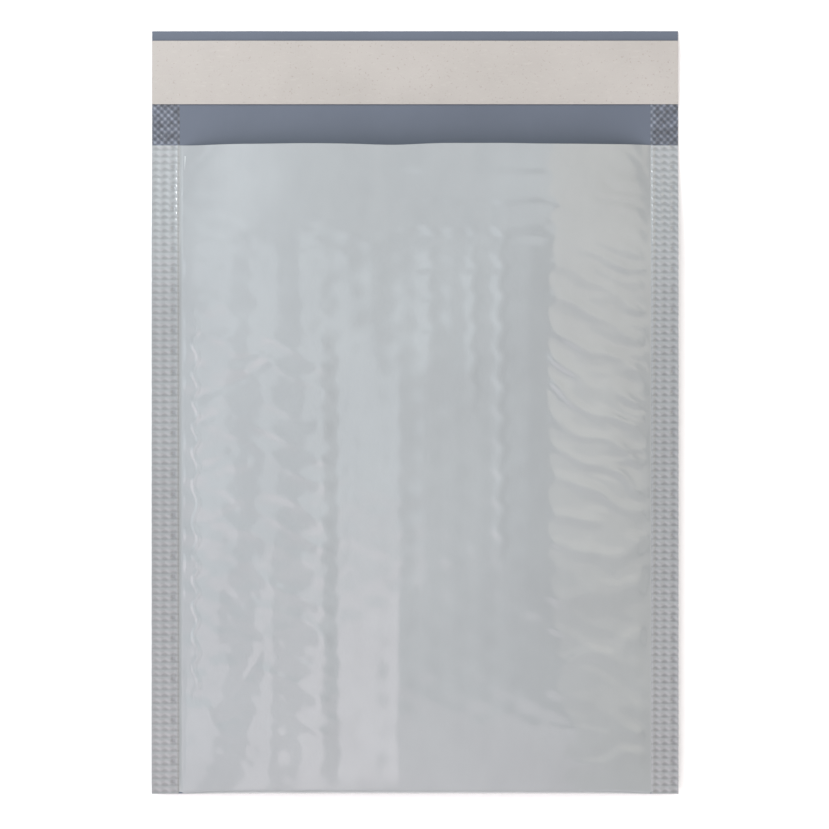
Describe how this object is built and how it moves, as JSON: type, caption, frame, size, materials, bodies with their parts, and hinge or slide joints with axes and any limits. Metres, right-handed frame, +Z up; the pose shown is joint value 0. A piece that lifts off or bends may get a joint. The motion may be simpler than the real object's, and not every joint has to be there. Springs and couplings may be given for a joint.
{
  "type": "padded envelope",
  "caption": "Flat padded mailing envelope: a bubble-lined film pocket with embossed side welds, an open mouth and a flap with a covered adhesive strip.",
  "frame": {"origin": "on the surface it lies on, under the middle of the whole length with the flap laid open", "axes": "+X across the envelope, +Y from the bottom fold to the mouth and flap, +Z up through the front panel"},
  "size_m": [0.185, 0.268, 0.014],
  "materials": {
    "pearl_film": "satin pearl film, dark slate on its inner face",
    "bubble_film": "clear glossy film with round air bubbles",
    "hot_melt": "tacky, slightly yellow",
    "release_paper": "matt coated paper"
  },
  "bodies": {
    "root": {"outer_film": "pearl_film", "bubble_liner": "bubble_film", "adhesive_strip": "hot_melt", "release_liner": "release_paper"}
  },
  "joints": []
}
